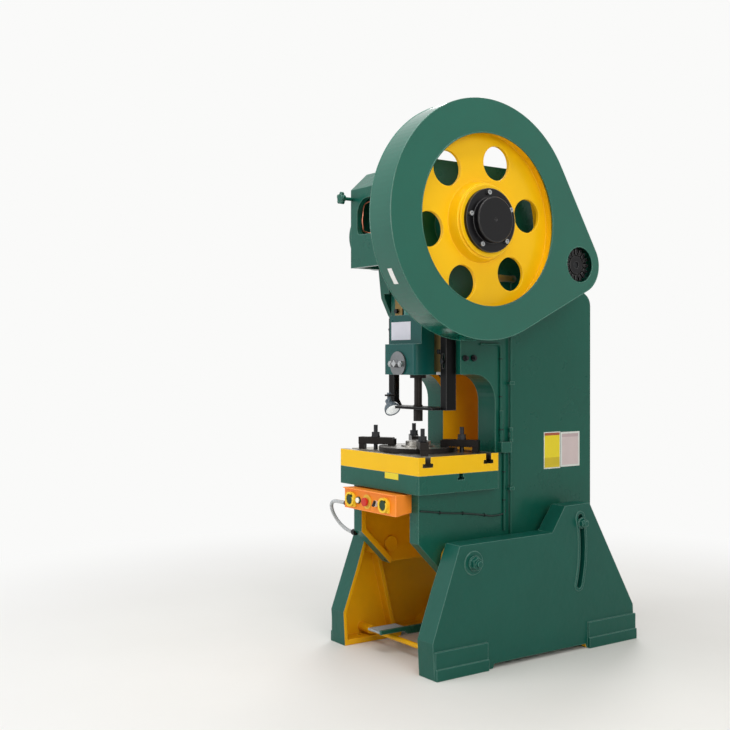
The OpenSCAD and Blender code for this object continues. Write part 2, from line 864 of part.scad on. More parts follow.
module rod_bolts()
    color("#4A4D50") {
        for (s = [-1, 1]) {
            zc(pin_z - 24, pin_z + 24, 8, 0, crank_y + s * 103, 32);
            zhex(pin_z + 24, pin_z + 36, 24, 0, crank_y + s * 103);
            zhex(pin_z - 38, pin_z - 24, 24, 0, crank_y + s * 103);
        }
        for (z = [1552, 1585]) {
            xc(-63, 63, 7, crank_y - 37, z, 32);
            xhex(63, 72, 20, crank_y - 37, z);
            xhex(-74, -63, 20, crank_y - 37, z);
        }
    }

module ball_screw()
    color("#9EA2A5") {
        zc(1447, 1655, 28, 0, crank_y);
    }

module ball_cap()
    color("#2F8A7E")
    difference() {
        zc(1447, 1477, 60, 0, crank_y, fn_big);
        zc(1446, 1478, 28, 0, crank_y);
        for (a = [45 : 90 : 315])
            zc(1468, 1478, 7, 45 * cos(a), crank_y + 45 * sin(a), 32);
    }

// ---- slide ----

module way_tongue(z0, z1)
    zp(z0, z1, [[slide_hw - 6, way_y - 28.2], [slide_hw - 6, way_y + 28.2],
       [slide_hw, way_y + 28.2], [136, way_y + 4.2],
       [136, way_y - 4.2], [slide_hw, way_y - 28.2]]);

module slide()
    color("#2F6F5F")
    difference() {
        union() {
            // lower block with rounded front corners
            zp(slide_z, 1323, concat(
                [[slide_hw, slide_y1], [-slide_hw, slide_y1]],
                arc_pts(20 - slide_hw, slide_y0 + 20, 20, 180, 270, 6),
                arc_pts(slide_hw - 20, slide_y0 + 20, 20, 270, 360, 6)));
            // upper block, set back
            bx(-slide_hw, slide_hw, slide_y0 + 34, slide_y1,
               1322, seat_z);
            both() {
                bx(93, slide_hw, -372, slide_y1, seat_z - 1, 1590);
                way_tongue(slide_z, 1590);
            }
        }
        // seat of the ball cap, open to the back
        zc(seat_z - 10, seat_z + 1, 61.2, 0, crank_y, fn_big);
        bx(-61.2, 61.2, crank_y, slide_y1 + 1, seat_z - 10, seat_z + 1);
        // shank hole and knock-out slot
        zc(slide_z - 1, slide_z + 70, 25, 0, crank_y);
        bx(-113, 113, crank_y + 40, crank_y + 62, 1345, 1405);
        // clamp studs
        for (s = [-1, 1])
            yc(slide_y0 - 1, slide_y0 + 30, 8, s * 35, slide_z + 46, 32);
    }

module shank_clamp()
    color("#9A9C9A")
    difference() {
        yc(slide_y0 - 8, slide_y0, 53, 0, slide_z + 46, fn_mid);
        bx(-70, 70, slide_y0 - 9, slide_y0 + 1,
           slide_z - 30, slide_z);
        for (s = [-1, 1])
            yc(slide_y0 - 9, slide_y0 + 1, 8 + fit, s * 35,
               slide_z + 46, 32);
    }

module shank_bolts()
    color("#55585A") {
        for (s = [-1, 1]) {
            yc(slide_y0 - 26, slide_y0 + 28, 8, s * 35,
               slide_z + 46, 32);
            difference() {
                yhex(slide_y0 - 22, slide_y0 - 8, 24, s * 35,
                     slide_z + 46);
                yc(slide_y0 - 23, slide_y0 - 7, 8, s * 35,
                   slide_z + 46, 32);
            }
        }
        translate([0, slide_y0 - 8, slide_z + 46])
            rotate([0, 45, 0]) bx(-11, 11, -20, 0, -11, 11);
    }

module punch()
    color("#4A4643") {
        zc(slide_z - 15, slide_z, 35, 0, crank_y);
        zc(slide_z, slide_z + 60, 25, 0, crank_y);
        zc(slide_z - 130, slide_z - 15, punch_r - 3, 0, crank_y);
        zc(slide_z - 199, slide_z - 130, punch_r, 0, crank_y);
    }

module gib() {
    difference() {
        bx(slide_hw + gap, 165, -376.5, way_y, 1205, 1560);
        way_groove();
        for (z = [1290, 1470])
            yc(-380, way_y + 1, 6, 150, z, 32);
    }
}

module gibs()
    color("#B79A62") both() gib();

module gib_bolt_set()
    both()
    for (z = [1290, 1470]) {
        yc(-376.5, way_y, 6, 150, z, 32);
        yhex(-387, -376.5, 19, 150, z);
    }

module stripper_bar()
    difference() {
        union() {
            bx(163, 201, -384.5, -376.5, 1046, 1440);
            bx(193, 201, -376.5, -332.5, 1046, 1440);
            xp(163, 171, [[-376.5, 1057], [-376.5, 1120],
               [-340, 1057]]);
        }
        for (z = [1250, 1390])
            bx(175, 187, -385, -376, z - 30, z + 30);
    }

module stripper_bars()
    color("#19161A") {
        both() stripper_bar();
        // bracket that carries the lamp on the left bar
        difference() {
            bx(-182, -154, lamp_y - 14, -384, 1096, 1104);
            zc(1095, 1105, 6 + fit, lamp_x, lamp_y, 32);
        }
    }

module stripper_plate()
    color("#19161A")
    difference() {
        bx(-163, 163, -430, -333, 1046, 1057);
        zc(1045, 1058, punch_r + 6, 0, crank_y);
        // cut back beside the lamp
        bx(-164, -94, -431, -374, 1045, 1058);
    }

// swivel stem of the work lamp
lamp_x = -168;
lamp_y = -407;

module stripper_bolt_set()
    both()
    for (z = [1250, 1390]) {
        yhex(-394.5, -384.5, 19, 181, z);
        yc(-384.5, -376.5, 5.5, 181, z, 32);
    }

// ---- console ----

con_z = 665;
con_y = -631;
palm_xs = [-125, 115];
stop_x = -14;
mode_x = 50;

module console()
    color("#EE7E35")
    difference() {
        union() {
            xp(-184, 184, [[-551.5, 636], [-551.5, 709], [con_y, 711],
               [con_y, 624]]);
            // lip along the top edge
            bx(-184, 184, con_y - 10, con_y + 2, 707.5, 711);
        }
        // wells behind the controls
        for (x = palm_xs)
            yc(-640, -600, 15, x, con_z, 48);
        yc(-640, -600, 9, stop_x, con_z, 32);
        yc(-640, -600, 7, mode_x, con_z, 32);
    }

// ring shroud around a palm button, open at the top corner
module palm_shroud(x)
    difference() {
        union() {
            yc(-650, con_y, 31, x, con_z, fn_mid);
            bx(x - 30, x + 30, -641, con_y, con_z - 30, con_z + 8);
        }
        yc(-651, -630, 22, x, con_z, fn_mid);
        translate([x, 0, con_z]) rotate([0, -45, 0])
            bx(15, 50, -651, -643, -8, 8);
    }

module palm_shrouds()
    color("#F5B81C") {
        for (x = palm_xs)
            palm_shroud(x);
    }

module palm_button(x) {
    yc(-648, -638, 19, x, con_z, fn_mid);
    yc(-638, -606, 15 - fit, x, con_z, 48);
}

module palm_button_left()
    color("#2B2A2C") palm_button(palm_xs[0]);

module palm_button_right()
    color("#2B2A2C") palm_button(palm_xs[1]);

module signal_lamp()
    color("#E9E7D8") {
        yc(-636, con_y, 15, -78, con_z, 48);
        yc(-641, -636, 11, -78, con_z, 48);
    }

module stop_ring()
    color("#F5C63C")
    difference() {
        yc(-635, con_y, 30, stop_x, con_z, fn_mid);
        yc(-636, -630, 10, stop_x, con_z, 48);
    }

module stop_button()
    color("#D8352B") {
        yc(-651, -642, 18, stop_x, con_z, fn_mid);
        yc(-642, -606, 9 - fit, stop_x, con_z, 32);
    }

module selector()
    color("#C9C5BE") {
        yc(-640, con_y - gap, 13, mode_x, con_z, 48);
        yc(con_y - gap, -606, 7 - fit, mode_x, con_z, 32);
        translate([mode_x, 0, con_z]) rotate([0, 30, 0])
            bx(-4, 4, -648, -640, -13, 13);
    }

// ---- small fittings ----

module console_hose()
    color("#C9CBCC") {
        translate([-184, -620, 640]) rotate([29.12, 0, 0]) {
            xc(-82, 0, 8, 0, 0, 32);
            translate([-82, 0, -80.14]) rotate([90, 0, 0])
                rotate([0, 0, 90])
                rotate_extrude(angle = 180, $fn = 96)
                translate([80.14, 0, 0]) circle(r = 8, $fn = 24);
            xc(-82, -61, 8, 0, -160.28, 32);
        }
        xc(-246, -frame_hw, 13, -542, 500, 32);
    }

module star_knob()
    color("#2A5C4D")
    translate([-217, head_y, 1954]) rotate([90, 0, 0]) {
        translate([0, 0, -12]) cylinder(h = 14, r = 5, $fn = 32);
        translate([0, 0, 0.3]) cylinder(h = 50, r = 7.5, $fn = 48);
        translate([0, 0, 42]) cylinder(h = 20, r = 12.5, $fn = 48);
        for (a = [0 : 72 : 288])
            rotate([0, 0, a + 7]) translate([18, 0, 52])
            cylinder(h = 13, r = 9.5, $fn = 32);
        translate([0, 0, 50]) cylinder(h = 18, r = 18, $fn = 48);
    }

module side_conduit()
    color("#BFC3C4") {
        yc(-228.5, -135.5, 5, 236, 1322, 32);
        translate([236, -135.5, 1302]) rotate([90, 0, 90])
            rotate_extrude(angle = 90, $fn = 96)
            translate([20, 0, 0]) circle(r = 5, $fn = 24);
        zc(1040, 1302, 5, 236, -115.5, 32);
        zc(908, 1040, 8, 240, -115.5, 32);
        zc(632, 863, 5, 236, -96, 32);
        zc(531, 632, 5, 236, -96, 32);
    }

module side_brackets()
    color("#23483E") {
        difference() {
            bx(frame_hw, 258, -128.5, -74, 863, 908);
            zc(862, 909, 5.5, 236, -96, 32);
        }
        for (z = [700, 1150, 1480])
            difference() {
                bx(frame_hw, 252, rod_y - 13, rod_y + 13, z, z + 14);
                zc(z - 1, z + 15, 5 + fit, 242, rod_y, 32);
            }
    }

module side_bolt_set() {
    xhex(frame_hw, 240, 22, -310.5, 1263);
    xc(240, 252, 7, -310.5, 1263, 32);
    xhex(frame_hw, 242, 24, -265.5, 1263);
    xc(242, 250, 7, -265.5, 1263, 32);
}

module frame_bolts()
    color("#4A4D50") {
        motor_bolt_set();
        gib_bolt_set();
        stripper_bolt_set();
        side_bolt_set();
    }

module work_lamp()
    color("#232326")
    difference() {
        union() {
            // swivel stem through the bracket, with its nut
            zc(1072, 1112, 6, lamp_x, lamp_y, 32);
            zc(1080, 1095.7, 9, lamp_x, lamp_y, 48);
            zc(1104.3, 1112, 10, lamp_x, lamp_y, 48);
            // round shade, tilted down and inwards
            lamp_tilt() {
                sphere(r = 35, $fn = 64);
                translate([0, 0, -54]) cylinder(h = 30, r = 15, $fn = 48);
            }
        }
        lamp_tilt() {
            sphere(r = 32, $fn = 64);
            translate([0, 0, 6]) cylinder(h = 40, r = 60, $fn = 48);
        }
    }

module lamp_tilt()
    translate([-136, -413, 1040]) rotate([0, 133, -9.4]) children();

// ---- trip gear ----

module front_shaft()
    color("#F5B81C")
    xc(-leg_hw + 10, leg_hw - 10, 11, front_y, front_z, 48);

module pedal_lever()
    color("#2A5C4D")
    difference() {
        union() {
            xc(-leg_hw + 10, leg_hw - 10, 15, pedal_y, pedal_z, 48);
            // arm of the foot plate, arched over the front shaft
            xp(-66, -54, [[-533, 85], [-533, 103], [120, 103],
               [120, 58], [60, 58], [20, 70], [-390, 70],
               [-406, 85]]);
            xc(-72, -48, 28, pedal_y, pedal_z);
            // short arm to the link
            xp(268, 280, [[pedal_y, 58], [pedal_y, 92],
               [rod_y, 87], [rod_y, 63]]);
            xc(268, 280, 12, rod_y, pedal_z, 48);
            xc(264, 284, 25, pedal_y, pedal_z);
            // rib under the foot plate
            bx(-146, -66, -520, -508, 85, 88);
        }
        xc(260, 281, 5 + fit, rod_y, pedal_z, 32);
    }

module foot_plate()
    color("#8B8F90")
    difference() {
        bx(-150, -66, -533, -388, 88, 96);
        for (x = [-140 : 14 : -84])
            bx(x, x + 6, -529, -392, 93.5, 97);
    }

module trip_link()
    color("#55585A") {
        difference() {
            union() {
                xc(250, 259, 11, rod_y, pedal_z, 48);
                bx(250, 259, rod_y - 7, rod_y + 7, pedal_z, 424);
                xc(250, 259, 12, rod_y, 424, 48);
            }
            xc(249, 260, 5, rod_y, 424, 32);
        }
        xc(259, 282, 5, rod_y, pedal_z, 32);
    }

module trip_rod()
    color("#6A6D6F") {
        zc(452, 1583, 5, 242, rod_y, 32);
        xc(237, 247, 10, rod_y, 446, 32);
        difference() {
            zc(918, 955, 9, 242, rod_y, 32);
            bx(238, 246, rod_y - 10, rod_y + 10, 928, 945);
        }
        zhex(906, 918, 18, 242, rod_y);
        zhex(955, 967, 18, 242, rod_y);
        bx(237, 247, rod_y - 8, rod_y + 8, 1583, 1612);
        xc(247, 262, 4, rod_y, 1600, 32);
    }

module clutch_lever()
    color("#3E4447")
    difference() {
        union() {
            xc(250, 260, 15, rod_y, 1600, 48);
            xc(250, 260, 20, rod_y - 120, 1600, 48);
            xp(250, 260, [[rod_y, 1588], [rod_y - 120, 1584],
               [rod_y - 120, 1616], [rod_y, 1612]]);
            xp(250, 260, [[rod_y - 138, 1596], [rod_y - 236, 1672],
               [rod_y - 222, 1690], [rod_y - 106, 1612]]);
        }
        xc(249, 261, 8 + fit, rod_y - 120, 1600, 48);
        bx(249, 261, rod_y - 6, rod_y + 6, 1595.9, 1604.1);
    }

module lever_stud()
    color("#55585A") {
        xc(frame_hw, 249.5, 12, rod_y - 120, 1600, 48);
        xc(249.5, 264, 8, rod_y - 120, 1600, 48);
        xhex(260.5, 268, 24, rod_y - 120, 1600);
    }

leg_left();
leg_right();
tie_bars();
pivot_bolts();
front_shaft();
slot_bolts();
frame();
bolster();
die_plate();
ring_die();
clamps();
clamp_studs();
crank_bushes();
crankshaft();
clutch_collar();
brake_drum();
brake_band();
flywheel();
hub_cover();
hub_bolts();
belts();
motor_pulley();
motor_rotor();
motor_body();
fan_cowl();
terminal_box();
belt_guard();
connecting_rod();
rod_cap();
rod_bolts();
ball_screw();
ball_cap();
slide();
shank_clamp();
shank_bolts();
punch();
gibs();
frame_bolts();
stripper_bars();
stripper_plate();
console();
palm_shrouds();
palm_button_left();
palm_button_right();
signal_lamp();
stop_ring();
stop_button();
selector();
console_hose();
star_knob();
side_conduit();
side_brackets();
work_lamp();
pedal_lever();
foot_plate();
trip_link();
trip_rod();
clutch_lever();
lever_stud();
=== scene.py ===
import math
import bpy
import bmesh
from mathutils import Matrix, Vector


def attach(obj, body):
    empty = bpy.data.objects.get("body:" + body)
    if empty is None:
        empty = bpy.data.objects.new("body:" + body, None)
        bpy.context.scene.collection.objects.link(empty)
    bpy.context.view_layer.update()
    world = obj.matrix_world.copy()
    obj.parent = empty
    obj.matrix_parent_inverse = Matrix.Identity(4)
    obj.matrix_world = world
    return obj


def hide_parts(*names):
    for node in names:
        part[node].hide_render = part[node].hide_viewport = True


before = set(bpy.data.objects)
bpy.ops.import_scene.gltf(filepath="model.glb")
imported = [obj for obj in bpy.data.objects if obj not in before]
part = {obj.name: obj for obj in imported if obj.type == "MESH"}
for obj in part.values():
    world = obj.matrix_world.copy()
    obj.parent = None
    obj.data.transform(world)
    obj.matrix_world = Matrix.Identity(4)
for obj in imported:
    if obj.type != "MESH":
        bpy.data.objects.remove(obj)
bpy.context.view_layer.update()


# Room: camera, lamps and floor
# The press stands on a pale floor under large soft lamps, seen from its
# right front corner at chest height through a normal lens.
def tint(code):
    values = []
    for i in (0, 2, 4):
        c = int(code[i:i + 2], 16) / 255
        values.append(c / 12.92 if c <= 0.04045 else ((c + 0.055) / 1.055) ** 2.4)
    return (*values, 1.0)


def wire(tree, kind, settings=None, inputs=None):
    made = tree.nodes.new(kind)
    for name, value in (settings or {}).items():
        setattr(made, name, value)
    for name, value in (inputs or {}).items():
        if isinstance(value, bpy.types.NodeSocket):
            tree.links.new(value, made.inputs[name])
        else:
            made.inputs[name].default_value = value
    return made


def blank_material(name):
    mat = bpy.data.materials.new(name)
    mat.use_nodes = True
    mat.node_tree.nodes.clear()
    return mat, mat.node_tree


def lamp(name, place, aim, size, power, colour):
    data = bpy.data.lights.new(name, "AREA")
    data.shape = "DISK"
    data.size, data.energy, data.color = size, power, tint(colour)[:3]
    lamp_obj = bpy.data.objects.new(name, data)
    lamp_obj.location = place
    lamp_obj.rotation_euler = (Vector(aim) - Vector(place)).to_track_quat(
        "-Z", "Y").to_euler()
    bpy.context.scene.collection.objects.link(lamp_obj)


def seen_in_view(tree):
    """1 where a ray is seen straight, in a reflection or through glass, 0 where it lights."""
    ray = wire(tree, "ShaderNodeLightPath")
    straight = wire(tree, "ShaderNodeMath", {"operation": "MAXIMUM"},
                    {0: ray.outputs["Is Camera Ray"], 1: ray.outputs["Is Glossy Ray"]})
    in_any = wire(tree, "ShaderNodeMath", {"operation": "MAXIMUM"},
                  {0: straight.outputs[0], 1: ray.outputs["Is Transmission Ray"]})
    return in_any.outputs[0]


def per_metre(mm):
    """Scale of a noise whose grain is mm millimetres wide."""
    return 1000 / mm


lens = bpy.data.cameras.new("eye_level")
lens.sensor_width, lens.lens = 36.0, 52.01
lens.clip_start, lens.clip_end = 0.05, 60
eye = bpy.data.objects.new("eye_level", lens)
eye.location = (3.58393, -3.14622, 1.25051)
heading, pitch = math.radians(55.18), math.radians(-0.21)
eye.rotation_euler = (math.radians(90) + pitch, 0, heading)
bpy.context.scene.collection.objects.link(eye)
bpy.context.scene.camera = eye
bpy.context.scene.view_settings.view_transform = "Standard"

lamp("ceiling_bay", (0.6, -1.2, 4.6), (0, -0.2, 1.0), 3.4, 112, "FFFFFF")
lamp("door_light", (4.4, -1.6, 2.6), (0, 0, 1.2), 2.6, 74, "FFFBF4")
lamp("front_fill", (-1.4, -4.6, 2.2), (0, -0.4, 1.1), 2.8, 66, "F6FAFF")
lamp("back_rim", (-2.6, 2.8, 3.4), (0, 0, 1.4), 2.2, 60, "FFFFFF")

backdrop_white = tint("FAFAF9")
world = bpy.data.worlds.new("pale_room")
bpy.context.scene.world = world
world.use_nodes = True
wt = world.node_tree
wt.nodes.clear()
room = wire(wt, "ShaderNodeBackground", None,
            {"Color": tint("F2F3F4"), "Strength": 0.42})
white = wire(wt, "ShaderNodeBackground", None,
             {"Color": backdrop_white, "Strength": 1.0})
sky = wire(wt, "ShaderNodeMixShader", None,
           {0: seen_in_view(wt), 1: room.outputs[0], 2: white.outputs[0]})
wire(wt, "ShaderNodeOutputWorld", None, {"Surface": sky.outputs[0]})

# the floor keeps the shadow near the press and fades into the backdrop
fade_from, fade_to, floor_radius, floor_drop = 0.9, 3.4, 14, 0.0005
floor_mat, ft = blank_material("sealed_concrete_floor")
# this noise runs once across the floor, so the floor's width is in its scale
mottle = wire(ft, "ShaderNodeTexNoise", None,
              {"Scale": 2 * floor_radius * per_metre(700), "Detail": 5.0})
shade = wire(ft, "ShaderNodeMix", {"data_type": "RGBA"},
             {"Factor": mottle.outputs["Fac"], 6: tint("DEDCD7"), 7: tint("E6E4E0")})
ground = wire(ft, "ShaderNodeBsdfPrincipled", None,
              {"Base Color": shade.outputs[2], "Roughness": 0.62})
spot = wire(ft, "ShaderNodeTexCoord").outputs["Object"]
reach = wire(ft, "ShaderNodeVectorMath", {"operation": "LENGTH"}, {0: spot})
fade = wire(ft, "ShaderNodeMapRange", {"interpolation_type": "SMOOTHSTEP"},
            {"Value": reach.outputs["Value"], "From Min": fade_from, "From Max": fade_to})
blend_in = wire(ft, "ShaderNodeMath", {"operation": "MULTIPLY"},
                {0: fade.outputs[0], 1: seen_in_view(ft)})
far_white = wire(ft, "ShaderNodeEmission", None,
                 {"Color": backdrop_white, "Strength": 1.0})
floor_look = wire(ft, "ShaderNodeMixShader", None,
                  {0: blend_in.outputs[0], 1: ground.outputs[0], 2: far_white.outputs[0]})
wire(ft, "ShaderNodeOutputMaterial", None, {"Surface": floor_look.outputs[0]})
slab = bmesh.new()
bmesh.ops.create_circle(slab, cap_ends=True, radius=floor_radius, segments=96)
slab_mesh = bpy.data.meshes.new("floor")
slab.to_mesh(slab_mesh)
slab.free()
floor = bpy.data.objects.new("floor", slab_mesh)
floor.location = (0, 0, -floor_drop)
slab_mesh.materials.append(floor_mat)
bpy.context.scene.collection.objects.link(floor)


# Legs
# Two cast iron legs, open channels on the inside, brush painted in green
# enamel; the inside of each channel is finished in yellow.
def times(colour, share):
    return tuple(c * share for c in colour[:3]) + (1.0,)


def enamel(name, code, rough=0.34, dark=0.82, casting=0.5, worn=0.5, bare="6E706C",
           sheen=0.22, varnish=0.06, edge_highlight=0.7):
    """Enamel on metal: slow colour drift, orange peel, chips near the edges, and a painted
    highlight along every edge.
    """
    mat, t = blank_material(name)
    where = wire(t, "ShaderNodeTexCoord").outputs["Object"]
    drift = wire(t, "ShaderNodeTexNoise", None,
                 {"Vector": where, "Scale": per_metre(200), "Detail": 4.0,
                  "Roughness": 0.6})
    # real orange peel is finer; it is as coarse here as it needs to show
    peel = wire(t, "ShaderNodeTexNoise", None,
                {"Vector": where, "Scale": per_metre(2.38), "Detail": 2.0})
    swell = wire(t, "ShaderNodeTexNoise", None,
                 {"Vector": where, "Scale": per_metre(38.5), "Detail": 3.0})
    base = tint(code)
    tone = wire(t, "ShaderNodeMix", {"data_type": "RGBA"},
                {"Factor": drift.outputs["Fac"], 6: times(base, dark), 7: base})
    # a rounded normal leaves the true one only near an edge
    edge_round = wire(t, "ShaderNodeBevel", {"samples": 6}, {"Radius": 0.005})
    flat = wire(t, "ShaderNodeNewGeometry")
    facing = wire(t, "ShaderNodeVectorMath", {"operation": "DOT_PRODUCT"},
                  {0: edge_round.outputs[0], 1: flat.outputs["Normal"]})
    edge = wire(t, "ShaderNodeMapRange", None,
                {"Value": facing.outputs["Value"], "From Min": 0.99,
                 "From Max": 0.88, "To Min": 0.0, "To Max": 1.0})
    # painted highlight: a paler colour along every edge stands in for the light the edges catch
    pale = tuple(c * 1.9 + (1 - c) * 0.14 for c in base[:3]) + (1.0,)
    edge_highlight_amount = wire(t, "ShaderNodeMath", {"operation": "MULTIPLY"},
                       {0: edge.outputs[0], 1: edge_highlight})
    edge_highlighted = wire(t, "ShaderNodeMix", {"data_type": "RGBA"},
                  {"Factor": edge_highlight_amount.outputs[0], 6: tone.outputs[2], 7: pale})
    # small chips down to the metal, only near edges
    chip = wire(t, "ShaderNodeTexNoise", None,
                {"Vector": where, "Scale": per_metre(10.53), "Detail": 6.0,
                 "Roughness": 0.7})
    chip_cut = wire(t, "ShaderNodeMapRange", None,
                    {"Value": chip.outputs["Fac"], "From Min": 0.56, "From Max": 0.66})
    wear = wire(t, "ShaderNodeMath", {"operation": "MULTIPLY"},
                {0: edge.outputs[0], 1: chip_cut.outputs[0]})
    wear_amount = wire(t, "ShaderNodeMath", {"operation": "MULTIPLY"},
                       {0: wear.outputs[0], 1: worn})
    chipped = wire(t, "ShaderNodeMix", {"data_type": "RGBA"},
                   {"Factor": wear_amount.outputs[0], 6: edge_highlighted.outputs[2], 7: tint(bare)})
    gloss = wire(t, "ShaderNodeMapRange", None,
                 {"Value": drift.outputs["Fac"], "To Min": rough - 0.06,
                  "To Max": rough + 0.09})
    skin = wire(t, "ShaderNodeBump", None,
                {"Height": peel.outputs["Fac"], "Strength": 0.12, "Distance": 0.0006,
                 "Normal": edge_round.outputs[0]})
    body = wire(t, "ShaderNodeBump", None,
                {"Height": swell.outputs["Fac"], "Strength": casting,
                 "Distance": 0.0035, "Normal": skin.outputs[0]})
    paint = wire(t, "ShaderNodeBsdfPrincipled", None,
                 {"Base Color": chipped.outputs[2], "Roughness": gloss.outputs[0],
                  "Normal": body.outputs[0], "Specular IOR Level": sheen,
                  "Coat Weight": varnish, "Coat Roughness": 0.16})
    wire(t, "ShaderNodeOutputMaterial", None, {"Surface": paint.outputs[0]})
    return mat


def dress(node, *mats, pick=None):
    """Puts finishes on a solid; pick says which one a face takes from its middle and normal."""
    mesh = part[node].data
    mesh.materials.clear()
    for m in mats:
        mesh.materials.append(m)
    for p in mesh.polygons:
        p.material_index = pick(p.center, p.normal) if pick else 0


leg_green = enamel("green_enamel_on_cast_iron", "11574A", 0.3, 0.8, 0.45, 0.6)
leg_yellow = enamel("yellow_enamel_inside_castings", "F6B80A", 0.4, 0.75, 0.4, 0.35, edge_highlight=0.15)
# outline of a leg seen from the side, Y and Z in millimetres
leg_rim = [(-576, 0), (-584, 146), (-446, 516), (64, 521), (140, 629),
           (288, 632), (569, 153), (578, 0)]
# a face whose middle lies further in from the outline is inside the channel
inside_from_mm = 11
# arc slot of the tilt, about the pivot
pivot_y, pivot_z = -0.376, 0.441
slot_arc_r, slot_reach = 0.620, 0.016
# from just past the flange's inner edge to the inner face of the web
channel_x, web_x = 0.266, 0.3455
# the inner edges of the flange and the bosses lie nearer the middle than this
inner_edge_x = 0.3
# the foot stays green below pad_z, on its underside and on its outer side
outer_side_x, pad_z = 0.349, 0.03


def depth_in_leg(c):
    """Millimetres from a face to the nearest stretch of the leg's outline."""
    least = 1e9
    for i in range(len(leg_rim)):
        a, b = Vector(leg_rim[i]), Vector(leg_rim[(i + 1) % len(leg_rim)])
        ab, ac = b - a, Vector((c.y * 1000, c.z * 1000)) - a
        along = max(0.0, min(1.0, ac.dot(ab) / ab.length_squared))
        least = min(least, (ac - ab * along).length)
    return least


def leg_face(c, n):
    from_pivot = math.hypot(c.y - pivot_y, c.z - pivot_z)
    slot_wall = abs(n.x) < 0.5 and abs(from_pivot - slot_arc_r) < slot_reach
    inner_edge = abs(c.x) < inner_edge_x and abs(n.x) > 0.9 and n.x * c.x < 0
    inside = channel_x < abs(c.x) < web_x and depth_in_leg(c) > inside_from_mm
    foot = c.z < pad_z and (n.z < -0.5 or abs(c.x) > outer_side_x)
    return 1 if (inner_edge or inside and not slot_wall) and not foot else 0


for side in ("leg_left", "leg_right"):
    dress(side, leg_green, leg_yellow, pick=leg_face)
dress("tie_bars", leg_yellow)
dress("front_shaft", leg_yellow)


# Bolts, pins and shafts
# Turned and rolled carbon steel left bright or blackened; the tool leaves
# fine marks that break up the highlights.
def turned_steel(name, code, rough=0.36, grain_mm=0.6, grime=0.35, metal=1.0):
    """Steel as machined: a fine grain of tool marks, smudges of oil that darken it."""
    mat, t = blank_material(name)
    where = wire(t, "ShaderNodeTexCoord").outputs["Object"]
    marks = wire(t, "ShaderNodeTexNoise", None,
                 {"Vector": where, "Scale": per_metre(grain_mm), "Detail": 1.0})
    smear = wire(t, "ShaderNodeTexNoise", None,
                 {"Vector": where, "Scale": per_metre(45.5), "Detail": 6.0,
                  "Roughness": 0.65})
    base = tint(code)
    tone = wire(t, "ShaderNodeMix", {"data_type": "RGBA"},
                {"Factor": smear.outputs["Fac"], 6: times(base, 1 - grime), 7: base})
    gloss = wire(t, "ShaderNodeMapRange", None,
                 {"Value": smear.outputs["Fac"], "To Min": rough - 0.1,
                  "To Max": rough + 0.16})
    edge_round = wire(t, "ShaderNodeBevel", {"samples": 6}, {"Radius": 0.0012})
    cut = wire(t, "ShaderNodeBump", None,
               {"Height": marks.outputs["Fac"], "Strength": 0.16, "Distance": 0.0004,
                "Normal": edge_round.outputs[0]})
    steel = wire(t, "ShaderNodeBsdfPrincipled", None,
                 {"Base Color": tone.outputs[2], "Metallic": metal,
                  "Roughness": gloss.outputs[0], "Normal": cut.outputs[0]})
    wire(t, "ShaderNodeOutputMaterial", None, {"Surface": steel.outputs[0]})
    return mat


inside_frame_x = 0.205


def bolt_face(c, n):
    return 1 if abs(c.x) < inside_frame_x else 0


bright_steel = turned_steel("bright_turned_steel", "B9BBBC", 0.32)
black_steel = turned_steel("black_oxide_steel", "3A3B3D", 0.42, 0.8, 0.4)
for name in ("rod_bolts", "clamp_studs", "frame_bolts", "lever_stud", "motor_rotor"):
    dress(name, black_steel)
for name in ("crankshaft", "clutch_collar", "ball_screw", "hub_bolts",
             "shank_bolts", "trip_link", "clutch_lever"):
    dress(name, bright_steel)
for name in ("pivot_bolts", "slot_bolts"):
    dress(name, leg_green, leg_yellow, pick=bolt_face)


# Tilting frame
# The welded and cast body of the press in green enamel. The passage behind
# the table and the inside of the lower box are painted yellow.
frame_green = enamel("green_enamel_on_plate", "12594A", 0.27, 0.84, 0.3, 0.45)
# limits of the painted fields in millimetres, X counted from the middle
rear_y, front_y, foot_z = 430, -551, 365
passage_x, passage_low, passage_high, throat_y = 121.5, 830, 1208, -258
front_flange_x, front_flange_y = 171, -390
box_x, box_top_z = 205.6, 792


def frame_face(c, n):
    x, y, z = abs(c.x) * 1000, c.y * 1000, c.z * 1000
    if y > rear_y or y < front_y or (n.z < -0.9 and z < foot_z):
        return 0
    passage = x < passage_x and passage_low < z < passage_high and y > throat_y
    flange = n.y < -0.6 and x > front_flange_x and y < front_flange_y
    box = x < box_x and z < box_top_z and not flange
    return 1 if passage or box else 0


dress("frame", frame_green, leg_yellow, pick=frame_face)
for name in ("side_brackets", "brake_band", "star_knob", "side_conduit", "trip_rod"):
    dress(name, frame_green)


# Bolster and tooling
# A thick ground plate with two T-slots, painted yellow at the sides, and
# the oiled die, clamps and punch of dark tool steel on it.
bolster_yellow = enamel("yellow_enamel_on_bolster", "F9C40A", 0.36, 0.9, 0.15, 0.5, edge_highlight=0.3)
ground_face = turned_steel("ground_steel_face", "A7A398", 0.34, 1.2, 0.3)
tool_steel = turned_steel("oiled_tool_steel", "25211F", 0.38, 0.7, 0.4, 0.75)
die_steel = turned_steel("ground_die_steel", "A09C95", 0.26, 0.5, 0.35)
# the outer sides are painted; the walls of the T-slots, which lie between
# the front side and the back side, are bare
front_side_y, back_side_y = -0.5875, -0.1695


def bolster_face(c, n):
    in_slot = abs(n.x) < 0.5 and front_side_y < c.y < back_side_y
    return 1 if n.z > 0.9 or in_slot else 0


dress("bolster", bolster_yellow, ground_face, pick=bolster_face)
dress("die_plate", tool_steel, die_steel, pick=lambda c, n: 1 if n.z > 0.9 else 0)
dress("ring_die", die_steel)
for name in ("clamps", "punch"):
    dress(name, tool_steel)


